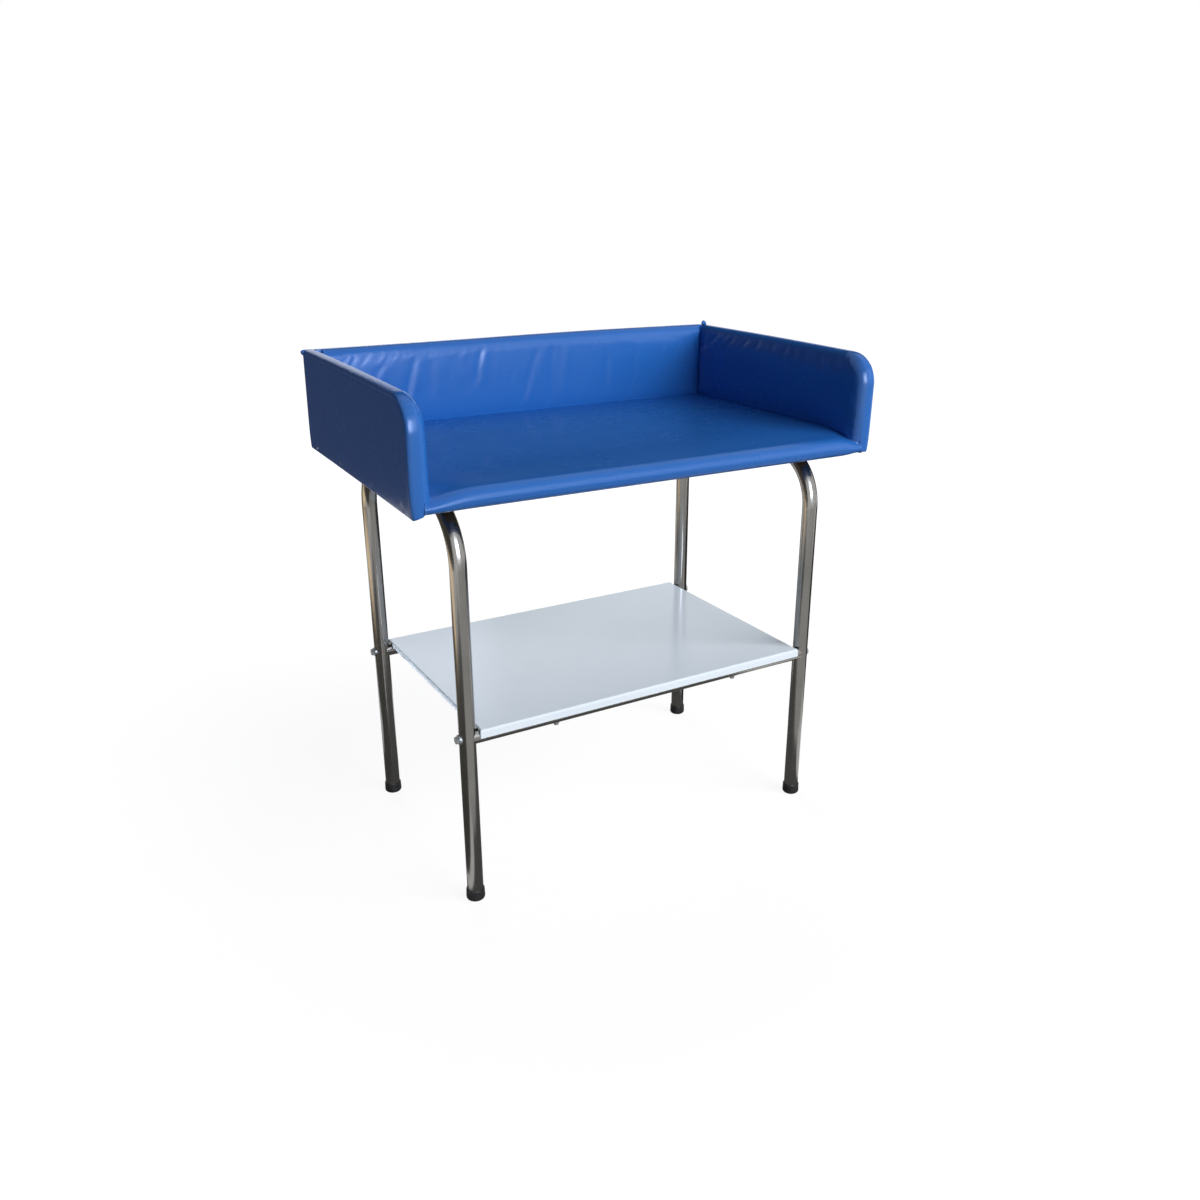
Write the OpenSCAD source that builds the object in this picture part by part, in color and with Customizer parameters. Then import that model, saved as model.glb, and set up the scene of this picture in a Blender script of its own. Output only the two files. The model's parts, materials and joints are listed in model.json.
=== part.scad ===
// Swaddling table: two bent tube leg frames carry an upholstered deck with padded sides
// and back, and two rails between the legs carry a folded sheet shelf.
// Millimetres. +Z up, the open front faces -Y, origin on the floor under the centre.

/* [Bed] */
// Width over the two side panels
bed_w = 920; // [760:5:1100]
// Depth from the front roll to the outer face of the back panel
bed_d = 558; // [500:2:680]
// Height of the deck board's underside above the floor
deck_h = 760; // [640:5:900]
// Height of the side and back panels
panel_h = 188; // [150:1:260]
// Radius of the side panels' top front corner
panel_corner_r = 60; // [30:1:80]

/* [Upholstery] */
// Thickness of the deck, side and back boards
board_t = 16; // [12:1:22]
// Thickness of the vinyl cover
cover_t = 1; // [0.8:0.1:1.4]
// Thickness of the foam on the deck
deck_foam_t = 17; // [12:1:30]
// Thickness of the foam on the side and back boards
panel_foam_t = 13; // [10:1:20]
// How far the foam reaches past the boards at the panels' top and front edges
edge_pad = 12; // [8:1:16]
// Rounding of the panels' padded edges on the board side
outer_edge_r = 8; // [6:1:14]
// Rounding of the panels' padded edges on the foam side
inner_edge_r = 15; // [8:1:17]
// Rounding of the deck's front roll on its underside
nose_under_r = 10; // [6:1:12]
// How far the foam reaches past the deck board at the front
nose_pad = 18; // [14:1:24]
// Rounding where the cover is pulled tight over a board
tight_r = 2; // [1.8:0.1:3]
// Rounding of the foam's hidden ends and of the deck's sides
foam_end_r = 6; // [3:0.5:9]
// Rise of the deck's middle above its edges
deck_crown = 5; // [0:0.5:8]
// Rise of a panel's middle above its edges
panel_crown = 2; // [0:0.5:4]
// How far a padded side is drawn in halfway between its corners
side_pull = 1; // [0:0.1:3]
// Width of the vinyl folded and stapled under the deck
fold_w = 30; // [20:1:40]
// Clearance between two upholstered pieces
soft_gap = 0.3; // [0.2:0.1:0.5]
// Clearance round a board in its cover
board_gap = 0.5; // [0.4:0.1:0.7]

/* [Leg frames] */
// Outer diameter of the leg tube
leg_d = 30; // [25:1:38]
// Wall of the leg tube
leg_wall = 1.5; // [1:0.1:2.5]
// Distance from the bed's end to the axis of the frame under it
leg_end_inset = 86.5; // [60:0.5:130]
// Distance from the bed's front or rear face to the axis of the legs near it
leg_side_inset = 55; // [45:0.5:70]
// Radius of the bend at the top of each leg, on the tube's axis
bend_r = 100; // [60:1:110]

/* [Feet] */
// Diameter of the rubber foot at its base
foot_d = 35; // [34:0.5:42]
// Wall of the foot's socket at its mouth
foot_wall = 1.8; // [1.5:0.1:2.5]
// Height of the foot
foot_h = 22; // [18:1:40]
// Rounding of the foot's base
foot_round = 6; // [3:0.5:8]
// Rubber under the tube's end
foot_floor = 6; // [4:0.5:10]

/* [Shelf] */
// Height of the shelf's top face above the floor
shelf_h = 349; // [200:1:500]
// Outer diameter of the shelf rails
rail_d = 28; // [20:1:29]
// Wall of the shelf rails
rail_wall = 1.5; // [1:0.1:2.5]
// Thickness of the shelf sheet
sheet_t = 2; // [1:0.1:3]
// Height of the shelf's front and rear flanges, which hook over the rails
flange_h = 16; // [12:1:20]
// Height of the low flanges at the shelf's ends, between the rails
end_flange_h = 8; // [5:1:10]
// Outer radius of the flanges' folds
flange_r = 4; // [3.5:0.5:4.5]
// Gap between the shelf's ends and the legs
shelf_end_gap = 4; // [2:0.5:10]
// Gap between a rail and the flange that hooks over it
flange_gap = 0.3; // [0.2:0.1:1]
// Gap between a rail and the low flange that ends beside it
notch_gap = 1; // [0.5:0.5:4]
// Distance from a leg's axis to the shelf stud near it
stud_inset = 174.5; // [80:0.5:230]

/* [Fixings] */
// Thread of the bolts that hold the rails to the legs
rail_bolt_d = 8; // [6:1:8]
// Thread of the bolts that hold the deck to the leg frames
deck_bolt_d = 6; // [5:1:8]
// Distance between the two deck bolts of one frame
deck_bolt_span = 170; // [100:2:180]
// Thread of the shelf studs
stud_d = 5; // [5:1:6]
// Diameter of the panel screws' shanks
screw_d = 4; // [3.5:0.5:5]
// Length of a panel screw's shank
screw_l = 40; // [34:1:50]
// Distance from a side panel's ends to its outer screws
screw_end = 44; // [36:1:60]
// Distance from a side panel's middle to its inner screws
screw_mid = 90; // [60:1:110]
// Distance between the back panel's screws
back_screw_step = 190; // [120:5:190]
// Crown thickness of a saddle washer under a hexagon head
washer_t = 2; // [1.5:0.5:3]
// Crown thickness of a saddle washer under a low head or a shelf nut
thin_washer_t = 1; // [0.8:0.1:1.5]
// Height of the rail bolts' low round heads on the right leg frame
low_head_h = 2.2; // [1.8:0.1:4]
// Length of the threaded plugs in the rails' ends
plug_l = 20; // [14:1:30]
// Distance from a leg to the plug in the rail beside it
plug_set = 4; // [4:0.5:8]
// Radial clearance of a seated part
seat_gap = 0.1; // [0.05:0.05:0.2]
// Radial clearance of a hole round a bolt, a stud or a screw
hole_gap = 0.3; // [0.2:0.1:0.6]

/* [Hidden] */
$fn = 64;

steel = "#b9bbbd";
rubber_black = "#1d1e20";
enamel_white = "#e9eef2";
zinc = "#9ea3a8";
plywood = "#c9a877";
foam_cream = "#efe3b8";
vinyl_blue = "#1f57b4";

// Whole thicknesses: an unpadded stretch of a panel, a padded panel and the deck
wrap_t = board_t + 2 * cover_t;
panel_t = wrap_t + panel_foam_t;
deck_t = wrap_t + deck_foam_t;

// Places shared by the upholstered pieces
base_z = deck_h - cover_t;
deck_w = bed_w - 2 * (wrap_t + soft_gap);
deck_front = -bed_d / 2;
deck_back = bed_d / 2 - wrap_t - soft_gap;
deck_step = deck_t + soft_gap;
nose_top_r = deck_t - nose_under_r - 3;
screw_v = cover_t + board_t / 2;

// Places shared by the leg frames, the rails and the shelf
legs_x = bed_w - 2 * leg_end_inset;
legs_y = bed_d - 2 * leg_side_inset;
stud_span = legs_x - 2 * stud_inset;
top_run_z = deck_h - leg_d / 2;
rail_z = shelf_h - sheet_t - rail_d / 2;
shelf_w = legs_x - leg_d - 2 * shelf_end_gap;
shelf_d = legs_y + rail_d + 2 * (flange_gap + sheet_t);

// Common proportions of metric bolts, nuts and saddle washers
function across_flats(d) = 1.5 * d + 1;
function head_h(d) = 0.66 * d;
function nut_h(d) = 0.8 * d;
function washer_d(d) = 2 * d + 2;

// PADDED FORMS
// A padded form lies flat: u and v run along its board and w rises from the board side
// to the foam side. Its four sides are numbered from v low, anticlockwise, and corner k
// is where side k begins. An edge is [board side radius, foam side radius, step]: with a
// step, the foam starts that far in from the edge and the rest is bare board thickness.

// Rings round the board side, the foam side and the crown of a fine form and of a plain one
fine = [3, 4, 3];
plain = [2, 2, 2];
// Sides of the small holes through a cover
few = 12;

// [inset, height] of every ring at one side, from the board face to the middle of the crown
function edge_rings(e, reach, w, crown, n) = [
    for (i = [0:n[0]]) let (a = 90 * i / n[0]) [e[0] * (1 - sin(a)), w[0] + e[0] * (1 - cos(a))],
    for (i = [1:2]) let (a = 90 * i / (n[1] + 2))
        e[2] > 0 ? [e[2] * (i - 1), w[1]] : [e[1] * (1 - cos(a)), w[2] - e[1] * (1 - sin(a))],
    for (i = [1:n[1]]) let (a = e[2] > 0 ? 90 * i / n[1] : 90 * (i + 2) / (n[1] + 2))
        [e[2] + e[1] * (1 - cos(a)), w[2] - e[1] * (1 - sin(a))],
    for (i = [1:n[2]]) [e[2] + e[1] + reach * i / n[2], w[2] + crown * sin(90 * i / n[2])]
];

// One ring: arcs at the corners and three points along each side, drawn in halfway
function ring(box, radii, segs, ins, pull) =
    let (lo = [box[0] + ins[3][0], box[1] + ins[0][0]], hi = [box[2] - ins[1][0], box[3] - ins[2][0]],
         r = [for (k = [0:3]) max(radii[k] - (ins[k][0] + ins[(k + 3) % 4][0]) / 2, radii[k] / 4, 0.4)],
         mid = [for (k = [0:3])
             [k == 0 || k == 3 ? lo[0] + r[k] : hi[0] - r[k], k < 2 ? lo[1] + r[k] : hi[1] - r[k]]],
         corner = [for (k = [0:3]) [for (i = [0:segs[k]])
             let (t = i / segs[k], a = 180 + 90 * (k + t), z = ins[(k + 3) % 4][1] * (1 - t) + ins[k][1] * t)
             [mid[k][0] + r[k] * cos(a), mid[k][1] + r[k] * sin(a), z]]])
    [for (k = [0:3]) each concat(corner[k], [
        for (i = [1:3]) let (t = i / 4, a = corner[k][segs[k]], b = corner[(k + 1) % 4][0], in = 90 * (k + 1))
            a * (1 - t) + b * t + pull * sin(180 * t) * [cos(in), sin(in), 0]])];

// The closed form itself. w is the height of its board face, of its step and of its foam face.
module padded_form(box, radii, segs, edges, w, crown, n) {
    span = [for (k = [0:3]) (k % 2 == 0 ? box[3] - box[1] : box[2] - box[0])
        - edges[k][1] - edges[k][2] - edges[(k + 2) % 4][1] - edges[(k + 2) % 4][2]];
    reach = [for (k = [0:3]) min(0.35 * span[k], 0.6 * min(span[0], span[1]))];
    rows = [for (k = [0:3]) edge_rings(edges[k], reach[k], w, crown, n)];
    count = len(rows[0]);
    rings = [for (i = [0:count - 1])
        ring(box, radii, segs, [for (k = [0:3]) rows[k][i]], i > n[0] + 1 ? side_pull : 0)];
    m = len(rings[0]);
    top = (count - 1) * m;
    centre = [(box[0] + box[2]) / 2, (box[1] + box[3]) / 2];
    ends = [[centre[0], centre[1], w[0]], [centre[0], centre[1], w[2] + crown]];
    polyhedron(
        points = concat([for (r = rings) each r], ends),
        faces = concat(
            [for (j = [0:m - 1]) [count * m, j, (j + 1) % m]],
            [for (i = [0:count - 2], j = [0:m - 1], half = [0, 1]) let (k = (j + 1) % m)
                half == 0 ? [i * m + j, (i + 1) * m + j, (i + 1) * m + k]
                    : [i * m + j, (i + 1) * m + k, i * m + k]],
            [for (j = [0:m - 1]) [count * m + 1, top + (j + 1) % m, top + j]]
        )
    );
}

// A padded form shrunk by t on every face, for the space in a cover and for the foam
module shrunk_form(shape, t, n) {
    padded_form(
        box = shape[0] + t * [1, 1, -1, -1],
        radii = [for (r = shape[1]) max(r - t, 0.8)],
        segs = shape[2],
        edges = [for (e = shape[3]) [max(e[0] - t, 0.6), max(e[1] - t, 0.6), e[2]]],
        w = shape[4] + t * [1, -1, -1],
        crown = shape[5],
        n = n
    );
}

tight = [tight_r, foam_end_r, 0];
padded = [outer_edge_r, inner_edge_r, 0];
panel_w = [0, wrap_t, panel_t];
back_end = [tight_r, foam_end_r, panel_foam_t + soft_gap];

// Each shape is [box, corner radii, corner segments, edges, heights, crown]
deck_shape = [
    [-deck_w / 2, deck_front, deck_w / 2, deck_back], [for (k = [0:3]) tight_r], [2, 2, 2, 2],
    [[nose_under_r, nose_top_r, 0], tight, tight, tight], [0, wrap_t, deck_t], deck_crown
];
side_shape = [
    [-bed_d / 2, 0, bed_d / 2, panel_h], [tight_r, tight_r, tight_r, panel_corner_r], [2, 2, 2, 8],
    [[tight_r, foam_end_r, deck_step], [tight_r, foam_end_r, wrap_t + soft_gap], padded, padded],
    panel_w, panel_crown
];
back_shape = [
    [-deck_w / 2, 0, deck_w / 2, panel_h], [for (k = [0:3]) tight_r], [2, 2, 2, 2],
    [[tight_r, foam_end_r, deck_step], back_end, padded, back_end],
    panel_w, panel_crown
];

// The board's block in its form, longer by more on the sides that have no foam in front
module board_block(shape, inset, more) {
    box = shape[0];
    translate([box[0] + inset[3] - more[3], box[1] + inset[0] - more[0], cover_t])
        cube([box[2] - box[0] - inset[1] - inset[3] + more[1] + more[3],
              box[3] - box[1] - inset[0] - inset[2] + more[0] + more[2], board_t]);
}

edge_in = cover_t + board_gap;
deck_inset = [nose_pad, edge_in, edge_in, edge_in];
side_inset = [edge_in, edge_in, edge_pad, edge_pad];
back_inset = [edge_in, edge_in, edge_pad, edge_in];
past = 5;

// Foam: fills its cover outside the board, and wraps the board's padded edges
module foam(shape, inset, more) {
    difference() {
        shrunk_form(shape, cover_t + soft_gap, plain);
        translate([0, 0, -past]) board_block(shape, inset, more);
        board_block(shape, inset, more);
    }
}

// Cover: a vinyl skin round the form, open where its edges are stapled to the board
module cover(shape) {
    difference() {
        padded_form(shape[0], shape[1], shape[2], shape[3], shape[4], shape[5], fine);
        shrunk_form(shape, cover_t, plain);
        children();
    }
}

// The opening along a panel's bottom edge, where the board shows between the stapled folds
module bottom_slot(shape) {
    box = shape[0];
    lip = board_t / 4;
    translate([box[0] + fold_w, -past, cover_t + lip])
        cube([box[2] - box[0] - 2 * fold_w, past + cover_t + board_gap / 2, board_t - 2 * lip]);
}

// PLACES OF THE REPEATED FIXINGS
function side_screw_places() = [for (s = [-1, 1]) each [s * (bed_d / 2 - screw_end), s * screw_mid]];
function back_screw_places() = [for (i = [-2:2]) i * back_screw_step];

// A straight hole or rod along w, from w low to w high
module rod(d, from, to) {
    translate([0, 0, from]) cylinder(d = d, h = to - from);
}

module side_frame() { translate([-bed_w / 2, 0, base_z]) rotate([90, 0, 90]) children(); }
module back_frame() { translate([0, bed_d / 2, base_z]) rotate([90, 0, 0]) children(); }
module deck_frame() { translate([0, 0, base_z]) children(); }
module mirrored_x() { mirror([1, 0, 0]) children(); }

// Holes through a panel for screws of diameter d
module panel_holes(places, d, sides) {
    for (u = places) translate([u, screw_v, 0]) rod(d + 2 * hole_gap, -past, panel_t, $fn = sides);
}

// Seats of the countersunk screws' heads in the back board
module head_seats() {
    seat_r = screw_d + seat_gap;
    for (u = back_screw_places()) translate([u, screw_v, 0]) cylinder(r1 = seat_r, r2 = 0, h = seat_r);
}

// Pilot holes in the deck's edges, in the deck's own frame
module deck_screw_holes(sides) {
    d = screw_d + 2 * hole_gap;
    for (v = side_screw_places(), s = [-1, 1]) translate([s * (bed_w / 2), v, screw_v])
        rotate([0, -90 * s, 0]) rod(d, 0, screw_l + 1, $fn = sides);
    for (u = back_screw_places()) translate([u, bed_d / 2, screw_v])
        rotate([90, 0, 0]) rod(d, 0, screw_l + 1, $fn = sides);
}

// FRAME
// The tube's path as a solid rod: two legs, two bends and the run under the deck
module frame_rod(d, over) {
    straight = legs_y - 2 * bend_r;
    for (s = [0, 1]) mirror([0, s, 0]) {
        translate([0, legs_y / 2, foot_floor - over])
            cylinder(d = d, h = top_run_z - bend_r - foot_floor + over);
        translate([0, straight / 2, top_run_z - bend_r]) rotate([90, 0, 90])
            rotate_extrude(angle = 90) translate([bend_r, 0]) circle(d = d);
    }
    translate([0, straight / 2, top_run_z]) rotate([90, 0, 0]) cylinder(d = d, h = straight);
}

module leg_frame(x) {
    color(steel) translate([x, 0, 0]) difference() {
        frame_rod(leg_d, 0);
        frame_rod(leg_d - 2 * leg_wall, 1);
        for (s = [-1, 1]) {
            translate([0, s * legs_y / 2, rail_z]) rotate([0, 90, 0])
                rod(rail_bolt_d + 2 * hole_gap, -leg_d, leg_d);
            translate([0, s * deck_bolt_span / 2, top_run_z]) rod(deck_bolt_d + 2 * hole_gap, -leg_d, leg_d);
        }
    }
}

// Rubber foot: a socket on the tube's end, wider at its rounded base
module foot(x, y) {
    mouth_r = leg_d / 2 + seat_gap + foot_wall;
    base_r = max(foot_d / 2, mouth_r + 0.5);
    color(rubber_black) translate([x, y, 0]) rotate_extrude() polygon(concat(
        [[0, 0]],
        [for (a = [-90:15:0]) [base_r - foot_round * (1 - cos(a)), foot_round * (1 + sin(a))]],
        [[mouth_r + 0.3, foot_h * 0.6]],
        [for (a = [0:30:90]) [mouth_r - 1 + cos(a), foot_h - 1 + sin(a)]],
        [[leg_d / 2 + seat_gap, foot_h], [leg_d / 2 + seat_gap, foot_floor], [0, foot_floor]]
    ));
}

// Saddle washer: flat outside, hollowed to sit on a tube that runs along Y under it
module saddle_washer(tube_d, bolt_d, t) {
    drop = tube_d / 2 - sqrt(pow(tube_d / 2, 2) - pow(washer_d(bolt_d) / 2, 2));
    difference() {
        rod(washer_d(bolt_d), -drop, t);
        translate([0, 0, -tube_d / 2]) rotate([90, 0, 0])
            cylinder(d = tube_d + 2 * seat_gap, h = 2 * washer_d(bolt_d), center = true);
        rod(bolt_d + 2 * hole_gap, -drop - 1, t + 1);
    }
}

// Hexagon with its outer corners turned off, from z 0 up to h
module hexagon(d, h) {
    flat_r = across_flats(d) / 2;
    tip_r = flat_r / cos(30);
    intersection() {
        cylinder(r = tip_r, h = h, $fn = 6);
        rotate_extrude() polygon([
            [0, 0], [tip_r, 0], [tip_r, h - (tip_r - flat_r) * 0.7], [flat_r, h], [0, h]
        ]);
    }
}

// Bolt: its head stands on z 0 and its shank goes down by l
module hex_bolt(d, l) {
    hexagon(d, head_h(d));
    rod(d, -l, 0);
}

// The same with a low round head, turned by a socket in its face
module low_bolt(d, l) {
    difference() {
        cylinder(d1 = 1.7 * d, d2 = 1.4 * d, h = low_head_h);
        translate([0, 0, low_head_h / 2]) cylinder(d = 0.6 * d, h = low_head_h, $fn = 6);
    }
    rod(d, -l, 0);
}

module hex_nut(d) {
    difference() {
        hexagon(d, nut_h(d));
        rod(d + 2 * seat_gap, -1, nut_h(d) + 1);
    }
}

// Pan head screw with its seat on z 0 and a pointed shank down to l below it
module pan_screw(d, l) {
    color(zinc) rotate_extrude() polygon([
        [0, -l], [d / 2, -l + d], [d / 2, 0], [d, 0],
        [d, 0.25 * d], [0.8 * d, 0.5 * d], [0.45 * d, 0.65 * d], [0, 0.7 * d]
    ]);
}

// Countersunk screw with its head's face on z 0 and its point l below it
module flat_screw(d, l) {
    color(zinc) rotate_extrude() polygon([[0, -l], [d / 2, -l + d], [d / 2, -d / 2], [d, 0], [0, 0]]);
}

// SHELF
module shelf_rail(y) {
    color(steel) translate([0, y, rail_z]) difference() {
        rotate([0, 90, 0]) cylinder(d = rail_d, h = legs_x, center = true);
        rotate([0, 90, 0]) cylinder(d = rail_d - 2 * rail_wall, h = legs_x + 2, center = true);
        for (s = [-1, 1]) {
            translate([s * legs_x / 2, 0, 0]) rod(leg_d + 2 * seat_gap, -rail_d, rail_d);
            translate([s * stud_span / 2, 0, 0]) rod(stud_d + 2 * hole_gap, -rail_d, rail_d);
        }
    }
}

// Puts a child at the rail ends on side s: z 0 is the leg's axis and z points outwards
module at_rail_ends(s) {
    for (y = [-1, 1]) translate([s * legs_x / 2, y * legs_y / 2, rail_z]) rotate([0, 90 * s, 0]) children();
}

module at_studs() {
    for (s = [-1, 1], y = [-1, 1]) translate([s * stud_span / 2, y * legs_y / 2, rail_z]) children();
}

module rail_end_plugs() {
    color(zinc) for (s = [-1, 1]) at_rail_ends(s) difference() {
        rod(rail_d - 2 * rail_wall - 2 * seat_gap, -leg_d / 2 - plug_set - plug_l, -leg_d / 2 - plug_set);
        rod(rail_bolt_d + 2 * seat_gap, -leg_d - plug_set - plug_l, 0);
    }
}

// Hexagon heads on the left legs; on the right ones nothing stands out, so low heads there
module rail_bolts() {
    reach = leg_d + plug_set + plug_l - 2;
    color(zinc) {
        at_rail_ends(-1) translate([0, 0, leg_d / 2 + washer_t]) hex_bolt(rail_bolt_d, washer_t + reach);
        at_rail_ends(1) translate([0, 0, leg_d / 2 + thin_washer_t])
            low_bolt(rail_bolt_d, thin_washer_t + reach);
    }
}

module rail_saddle_washers() {
    color(zinc) for (s = [-1, 1]) at_rail_ends(s) translate([0, 0, leg_d / 2]) rotate([0, 0, 90])
        saddle_washer(leg_d, rail_bolt_d, s < 0 ? washer_t : thin_washer_t);
}

// Section of the folded sheet across a span, filled in between its two flanges
module fold_section(span, drop, r) {
    translate([r - span / 2, -drop]) square([span - 2 * r, drop]);
    translate([-span / 2, -drop]) square([span, drop - r]);
    for (s = [-1, 1]) translate([s * (span / 2 - r), -r]) circle(r = r);
}

// The sheet as a full block with folded top edges, shrunk by t all round and on top
module sheet_block(t) {
    w = shelf_w - 2 * t;
    d = shelf_d - 2 * t;
    translate([0, 0, -t]) intersection() {
        rotate([90, 0, 90]) linear_extrude(w, center = true) fold_section(d, flange_h, flange_r - t);
        rotate([90, 0, 0]) linear_extrude(d, center = true) fold_section(w, flange_h, flange_r - t);
    }
}

// Sheet with four flanges. The end ones are low and stop beside the rails.
module shelf() {
    inner_d = shelf_d - 2 * sheet_t;
    notch = rail_d + flange_gap + notch_gap;
    color(enamel_white) translate([0, 0, shelf_h]) difference() {
        sheet_block(0);
        sheet_block(sheet_t);
        for (s = [-1, 1]) translate([s * shelf_w / 2, 0, -flange_h]) {
            cube([2 * flange_r, inner_d, 2 * (flange_h - end_flange_h)], center = true);
            for (y = [-1, 1]) translate([0, y * (inner_d - notch) / 2, 0])
                cube([2 * flange_r, notch, 2 * (flange_h - sheet_t)], center = true);
        }
    }
}

module shelf_studs() {
    color(zinc) at_studs()
        rod(stud_d, -rail_d / 2 - thin_washer_t - nut_h(stud_d) - 1, rail_d / 2);
}

module under_rail() { at_studs() translate([0, 0, -rail_d / 2]) rotate([180, 0, 0]) children(); }
module shelf_saddle_washers() {
    color(zinc) under_rail() rotate([0, 0, 90]) saddle_washer(rail_d, stud_d, thin_washer_t);
}
module shelf_nuts() { color(zinc) under_rail() translate([0, 0, thin_washer_t]) hex_nut(stud_d); }

// DECK
flange_t = 1.5;
barrel_l = 0.6 * board_t;
function tee_flange_d(d) = 3 * d + 1;

module at_deck_bolts() {
    for (s = [-1, 1], y = [-1, 1]) translate([s * legs_x / 2, y * deck_bolt_span / 2, deck_h]) children();
}

// Tee nut as a solid, its flange flush with the board's top; more widens it into its seat
module tee_nut_blank(more) {
    rod(tee_flange_d(deck_bolt_d) + 2 * more, board_t - flange_t, board_t);
    rod(deck_bolt_d + 2 + 2 * more, board_t - flange_t - barrel_l - more, board_t - flange_t);
}

module deck_board() {
    color(plywood) difference() {
        deck_frame() difference() {
            board_block(deck_shape, deck_inset, [0, 0, 0, 0]);
            deck_screw_holes($fn);
        }
        at_deck_bolts() {
            tee_nut_blank(seat_gap);
            rod(deck_bolt_d + 2 * hole_gap, -1, board_t + 1);
        }
    }
}

module deck_foam() { color(foam_cream) deck_frame() foam(deck_shape, deck_inset, [0, past, past, past]); }

module deck_cover() {
    color(vinyl_blue) deck_frame() cover(deck_shape) {
        deck_screw_holes(few);
        open_from = deck_front + nose_pad + fold_w;
        translate([-deck_w / 2 + fold_w, open_from, -past])
            cube([deck_w - 2 * fold_w, deck_back - fold_w - open_from, past + cover_t + soft_gap]);
    }
}

module deck_tee_nuts() {
    color(zinc) at_deck_bolts() difference() {
        tee_nut_blank(0);
        rod(deck_bolt_d + 2 * seat_gap, -1, board_t + 1);
    }
}

module under_top_run() { at_deck_bolts() translate([0, 0, -leg_d]) rotate([180, 0, 0]) children(); }
module deck_saddle_washers() { color(zinc) under_top_run() saddle_washer(leg_d, deck_bolt_d, washer_t); }
module deck_bolts() {
    color(zinc) under_top_run() translate([0, 0, washer_t])
        hex_bolt(deck_bolt_d, washer_t + leg_d + board_t - flange_t);
}

// SIDES AND BACK
module side_board() {
    corner_r = panel_corner_r - edge_pad;
    box = side_shape[0];
    color(plywood) side_frame() difference() {
        board_block(side_shape, side_inset, [0, 0, 0, 0]);
        translate([box[0] + edge_pad, box[3] - edge_pad, 0]) difference() {
            translate([-1, -corner_r, 0]) cube([corner_r + 1, corner_r + 1, wrap_t]);
            translate([corner_r, -corner_r, -1]) cylinder(r = corner_r, h = wrap_t + 2);
        }
        panel_holes(side_screw_places(), screw_d, $fn);
    }
}

module side_foam() { color(foam_cream) side_frame() foam(side_shape, side_inset, [past, past, 0, 0]); }
module side_cover() {
    color(vinyl_blue) side_frame() cover(side_shape) {
        bottom_slot(side_shape);
        panel_holes(side_screw_places(), screw_d, few);
    }
}
module side_screws() {
    side_frame() for (u = side_screw_places()) translate([u, screw_v, 0])
        rotate([180, 0, 0]) pan_screw(screw_d, screw_l);
}

module back_board() {
    color(plywood) back_frame() difference() {
        board_block(back_shape, back_inset, [0, 0, 0, 0]);
        panel_holes(back_screw_places(), screw_d, $fn);
        head_seats();
    }
}

module back_foam() { color(foam_cream) back_frame() foam(back_shape, back_inset, [past, past, 0, past]); }
module back_cover() {
    color(vinyl_blue) back_frame() cover(back_shape) {
        bottom_slot(back_shape);
        panel_holes(back_screw_places(), 2 * screw_d, few);
    }
}
module back_screws() {
    back_frame() for (u = back_screw_places()) translate([u, screw_v, 0])
        rotate([180, 0, 0]) flat_screw(screw_d, screw_l);
}

leg_frame(-legs_x / 2);  // left_leg_frame
leg_frame(legs_x / 2);  // right_leg_frame
foot(-legs_x / 2, -legs_y / 2);  // foot_front_left
foot(legs_x / 2, -legs_y / 2);  // foot_front_right
foot(-legs_x / 2, legs_y / 2);  // foot_back_left
foot(legs_x / 2, legs_y / 2);  // foot_back_right
shelf_rail(-legs_y / 2);  // front_shelf_rail
shelf_rail(legs_y / 2);  // rear_shelf_rail
rail_end_plugs();
rail_bolts();
rail_saddle_washers();
shelf();
shelf_studs();
shelf_saddle_washers();
shelf_nuts();
deck_board();
deck_foam();
deck_cover();
side_board();  // left_side_board
side_foam();  // left_side_foam
side_cover();  // left_side_cover
mirrored_x() side_board();  // right_side_board
mirrored_x() side_foam();  // right_side_foam
mirrored_x() side_cover();  // right_side_cover
back_board();
back_foam();
back_cover();
deck_bolts();
deck_saddle_washers();
deck_tee_nuts();
side_screws();  // left_side_screws
mirrored_x() side_screws();  // right_side_screws
back_screws();
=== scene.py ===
import json
import math
import bpy
import numpy as np
from mathutils import Matrix, Vector


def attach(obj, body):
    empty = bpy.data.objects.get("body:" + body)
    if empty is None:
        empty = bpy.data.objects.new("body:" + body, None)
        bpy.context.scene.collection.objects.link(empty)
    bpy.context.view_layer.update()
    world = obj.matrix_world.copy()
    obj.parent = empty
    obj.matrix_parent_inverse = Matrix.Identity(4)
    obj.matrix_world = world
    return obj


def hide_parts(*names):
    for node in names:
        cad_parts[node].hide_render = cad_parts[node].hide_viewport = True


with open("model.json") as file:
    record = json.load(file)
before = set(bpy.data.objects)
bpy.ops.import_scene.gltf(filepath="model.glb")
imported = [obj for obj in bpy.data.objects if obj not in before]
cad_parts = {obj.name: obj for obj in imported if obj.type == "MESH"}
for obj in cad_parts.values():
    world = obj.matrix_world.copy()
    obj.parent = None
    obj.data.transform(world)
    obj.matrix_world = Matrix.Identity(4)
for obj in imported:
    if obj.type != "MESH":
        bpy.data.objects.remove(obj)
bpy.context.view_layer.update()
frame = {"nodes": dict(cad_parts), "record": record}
nodes = frame["nodes"]
scene = bpy.context.scene
print("frame loaded,", len(nodes), "nodes")

# CAMERA, as the photograph was taken: from the front left and chest height, looking down

cameraSetup = {
    "place": (-0.99124, -1.77563, 1.20953),
    "turn": 31.121,      # degrees to the right of straight ahead
    "tilt": 21.021,      # degrees down
    "roll": 0.268,
    "focal": 1061.08,    # in pixels of a 1200 pixel wide picture
    "centre": (624.32, 608.35),
    "width": 1200,
    "sensor": 36,        # mm
}


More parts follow.
